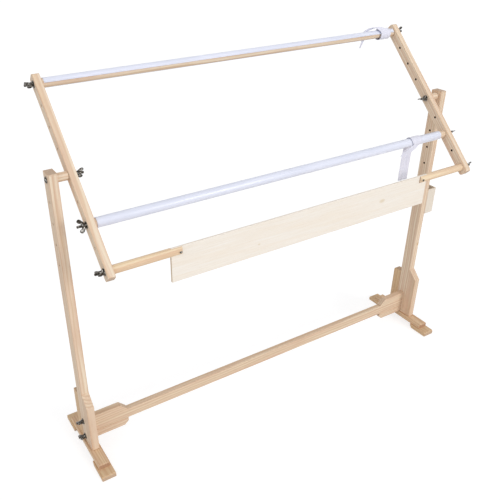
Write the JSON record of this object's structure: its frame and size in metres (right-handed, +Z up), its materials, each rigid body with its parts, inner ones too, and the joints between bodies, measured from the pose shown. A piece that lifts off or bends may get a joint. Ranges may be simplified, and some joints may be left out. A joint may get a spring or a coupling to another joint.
{
  "type": "embroidery floor stand",
  "caption": "Free-standing wooden embroidery floor stand: footed posts, low stretcher, tilting drilled arms, turning clip rollers and a swinging rest board.",
  "frame": {"origin": "on the floor, under the middle of the whole stand", "axes": "+X along the rollers to the worker's right, +Y away from the worker, +Z up"},
  "size_m": [1.169, 0.3462, 0.9127],
  "materials": {
    "pine": "sanded unvarnished pine, fine straight grain",
    "pine_end": "sanded pine, slightly darker boards",
    "veneer": "pale smooth board",
    "steel": "zinc-plated steel",
    "clip_plastic": "smooth white plastic",
    "tape_cloth": "white woven cotton tape"
  },
  "bodies": {
    "stand": {"left_post": "pine", "left_front_block": "pine", "left_rear_block": "pine_end", "left_foot_rail": "pine", "left_front_pad": "pine_end", "left_rear_pad": "pine_end", "right_post": "pine", "right_front_block": "pine", "right_rear_block": "pine_end", "right_foot_rail": "pine", "right_front_pad": "pine_end", "right_rear_pad": "pine_end", "stretcher": "pine", "left_upper_cheek": "pine", "left_lower_cheek": "pine", "right_upper_cheek": "pine", "right_lower_cheek": "pine", "stretcher_studs": "steel", "stretcher_washers": "steel", "left_spacer": "pine", "right_spacer": "pine", "left_pivot_bolt": "steel", "right_pivot_bolt": "steel", "tool_holder": "veneer", "holder_screws": "steel"},
    "frame": {"left_arm": "pine", "right_arm": "pine", "arm_washers": "steel", "lower_tape": "tape_cloth"},
    "top_roller": {"top_roller": "pine", "top_clip": "clip_plastic", "top_studs": "steel", "top_tape": "tape_cloth"},
    "lower_roller": {"lower_roller": "pine", "lower_clip": "clip_plastic", "lower_studs": "steel"},
    "rest": {"left_rest_stub": "pine", "right_rest_stub": "pine", "rest_board": "veneer", "rest_screws": "steel", "rest_studs": "steel"},
    "left_upper_wing_nut": {"left_upper_wing_nut": "steel"},
    "left_lower_wing_nut": {"left_lower_wing_nut": "steel"},
    "left_pivot_nut": {"left_pivot_nut": "steel"},
    "left_top_nut": {"left_top_nut": "steel"},
    "left_lower_nut": {"left_lower_nut": "steel"},
    "left_rest_nut": {"left_rest_nut": "steel"},
    "right_upper_wing_nut": {"right_upper_wing_nut": "steel"},
    "right_lower_wing_nut": {"right_lower_wing_nut": "steel"},
    "right_pivot_nut": {"right_pivot_nut": "steel"},
    "right_top_nut": {"right_top_nut": "steel"},
    "right_lower_nut": {"right_lower_nut": "steel"},
    "right_rest_nut": {"right_rest_nut": "steel"}
  },
  "joints": [
    {"name": "frame_tilt", "type": "hinge", "parent": "stand", "child": "frame", "pos_m": [-0.0065, 0, 0.745], "axis": [1, 0, 0], "continuous": true},
    {"name": "top_roller_turn", "type": "hinge", "parent": "frame", "child": "top_roller", "pos_m": [-0.0065, 0.15322, 0.89296], "axis": [1, 0, 0], "continuous": true},
    {"name": "lower_roller_turn", "type": "hinge", "parent": "frame", "child": "lower_roller", "pos_m": [-0.0065, -0.07985, 0.66789], "axis": [1, 0, 0], "continuous": true},
    {"name": "rest_swing", "type": "hinge", "parent": "frame", "child": "rest", "pos_m": [-0.0065, -0.15322, 0.59704], "axis": [1, 0, 0], "continuous": true},
    {"name": "left_upper_wing_nut_turn", "type": "hinge", "parent": "stand", "child": "left_upper_wing_nut", "pos_m": [-0.0065, 0, 0.091], "axis": [1, 0, 0], "continuous": true},
    {"name": "left_lower_wing_nut_turn", "type": "hinge", "parent": "stand", "child": "left_lower_wing_nut", "pos_m": [-0.0065, 0, 0.041], "axis": [1, 0, 0], "continuous": true},
    {"name": "left_pivot_nut_turn", "type": "hinge", "parent": "stand", "child": "left_pivot_nut", "pos_m": [-0.0065, 0, 0.745], "axis": [1, 0, 0], "continuous": true},
    {"name": "left_top_nut_turn", "type": "hinge", "parent": "top_roller", "child": "left_top_nut", "pos_m": [-0.0065, 0.15322, 0.89296], "axis": [1, 0, 0], "continuous": true},
    {"name": "left_lower_nut_turn", "type": "hinge", "parent": "lower_roller", "child": "left_lower_nut", "pos_m": [-0.0065, -0.07985, 0.66789], "axis": [1, 0, 0], "continuous": true},
    {"name": "left_rest_nut_turn", "type": "hinge", "parent": "rest", "child": "left_rest_nut", "pos_m": [-0.0065, -0.15322, 0.59704], "axis": [1, 0, 0], "continuous": true},
    {"name": "right_upper_wing_nut_turn", "type": "hinge", "parent": "stand", "child": "right_upper_wing_nut", "pos_m": [-0.0065, 0, 0.091], "axis": [1, 0, 0], "continuous": true},
    {"name": "right_lower_wing_nut_turn", "type": "hinge", "parent": "stand", "child": "right_lower_wing_nut", "pos_m": [-0.0065, 0, 0.041], "axis": [1, 0, 0], "continuous": true},
    {"name": "right_pivot_nut_turn", "type": "hinge", "parent": "stand", "child": "right_pivot_nut", "pos_m": [-0.0065, 0, 0.745], "axis": [1, 0, 0], "continuous": true},
    {"name": "right_top_nut_turn", "type": "hinge", "parent": "top_roller", "child": "right_top_nut", "pos_m": [-0.0065, 0.15322, 0.89296], "axis": [1, 0, 0], "continuous": true},
    {"name": "right_lower_nut_turn", "type": "hinge", "parent": "lower_roller", "child": "right_lower_nut", "pos_m": [-0.0065, -0.07985, 0.66789], "axis": [1, 0, 0], "continuous": true},
    {"name": "right_rest_nut_turn", "type": "hinge", "parent": "rest", "child": "right_rest_nut", "pos_m": [-0.0065, -0.15322, 0.59704], "axis": [1, 0, 0], "continuous": true}
  ]
}
